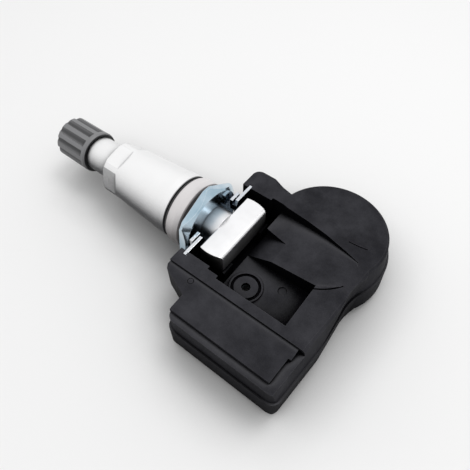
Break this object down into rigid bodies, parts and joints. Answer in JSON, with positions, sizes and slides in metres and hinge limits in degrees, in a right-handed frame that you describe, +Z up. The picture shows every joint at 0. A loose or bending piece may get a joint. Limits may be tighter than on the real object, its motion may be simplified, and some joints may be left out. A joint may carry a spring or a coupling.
{
  "type": "tyre pressure sensor",
  "caption": "Wheel tyre pressure sensor: an aluminium clamp-in valve with cap, collar nut and seal, swivelling in a moulded black housing with a pressure port.",
  "frame": {"origin": "on the valve's axis, at the face of the rubber seal that meets the wheel rim", "axes": "+X along the valve from the cap towards the sensor, +Y sideways towards the battery dome, +Z up through the pressure port"},
  "size_m": [0.0814, 0.0488, 0.0191],
  "materials": {
    "cap_plastic": "matt grey moulded plastic",
    "seal_rubber": "matt black rubber",
    "stem_aluminium": "bright satin aluminium",
    "core_brass": "machined brass",
    "pale_plastic": "pale slippery plastic",
    "spring_steel": "drawn wire",
    "nut_aluminium": "matt blasted aluminium",
    "ring_plastic": "pale smooth plastic",
    "dark_steel": "blackened steel",
    "zinc_steel": "bright zinc with a blue cast",
    "housing_plastic": "fine satin black moulding",
    "board_laminate": "green solder resist",
    "cell_steel": "bright rolled steel",
    "tab_nickel": "nickel strip",
    "chip_resin": "black moulding resin",
    "soft_gel": "soft silicone",
    "coil_copper": "enamelled copper on ferrite",
    "chip_ceramic": "ceramic chips"
  },
  "bodies": {
    "sensor": {"upper_shell": "housing_plastic", "base_tray": "housing_plastic", "retaining_plate": "zinc_steel", "circuit_board": "board_laminate", "battery": "cell_steel", "battery_tab_top": "tab_nickel", "battery_tab_bottom": "tab_nickel", "pressure_sensor": "chip_resin", "port_seal": "soft_gel", "antenna_coil": "coil_copper", "loop_antenna": "tab_nickel", "crystal": "cell_steel", "chip_parts": "chip_ceramic"},
    "valve": {"valve_stem": "stem_aluminium", "core_body": "core_brass", "core_seal": "pale_plastic", "grommet": "seal_rubber", "support_ring": "ring_plastic"},
    "pin": {"core_pin": "core_brass", "core_spring": "spring_steel"},
    "cap_rest": {"cap_seal": "seal_rubber"},
    "cap": {"valve_cap": "cap_plastic"},
    "collar_rest": {"slip_ring": "pale_plastic"},
    "collar": {"collar_nut": "nut_aluminium"},
    "nut_rest": {"lock_washer": "dark_steel"},
    "nut": {"lock_nut": "zinc_steel"}
  },
  "joints": [
    {"name": "valve_swivel", "type": "hinge", "parent": "sensor", "child": "valve", "pos_m": [0.01375, 0, -0.001], "axis": [0, 1, 0], "range_deg": [-4, 4]},
    {"name": "pin_press", "type": "slide", "parent": "valve", "child": "pin", "axis": [1, 0, 0], "range_m": [0, 0.001], "stiffness_N_per_m": 1500, "springref_m": -0.002, "deforming": ["core_spring"]},
    {"name": "cap_turn", "type": "hinge", "parent": "cap_rest", "child": "cap", "pos_m": [-0.03, 0, 0], "axis": [-1, 0, 0], "range_deg": [0, 1440]},
    {"name": "cap_travel", "type": "slide", "parent": "valve", "child": "cap_rest", "axis": [-1, 0, 0], "range_m": [0, 0.00318]},
    {"name": "collar_turn", "type": "hinge", "parent": "collar_rest", "child": "collar", "pos_m": [-0.01, 0, 0], "axis": [-1, 0, 0], "range_deg": [0, 1080]},
    {"name": "collar_travel", "type": "slide", "parent": "valve", "child": "collar_rest", "axis": [-1, 0, 0], "range_m": [0, 0.00238]},
    {"name": "nut_turn", "type": "hinge", "parent": "nut_rest", "child": "nut", "pos_m": [0.0065, 0, 0], "axis": [1, 0, 0], "range_deg": [0, 120]},
    {"name": "nut_travel", "type": "slide", "parent": "valve", "child": "nut_rest", "axis": [1, 0, 0], "range_m": [0, 0.00025]}
  ],
  "couplings": [
    {"joint": "cap_turn", "follows": "cap_travel", "rad_per_m": 7913.3},
    {"joint": "collar_turn", "follows": "collar_travel", "rad_per_m": 7913.3},
    {"joint": "nut_turn", "follows": "nut_travel", "rad_per_m": 8377.6}
  ]
}
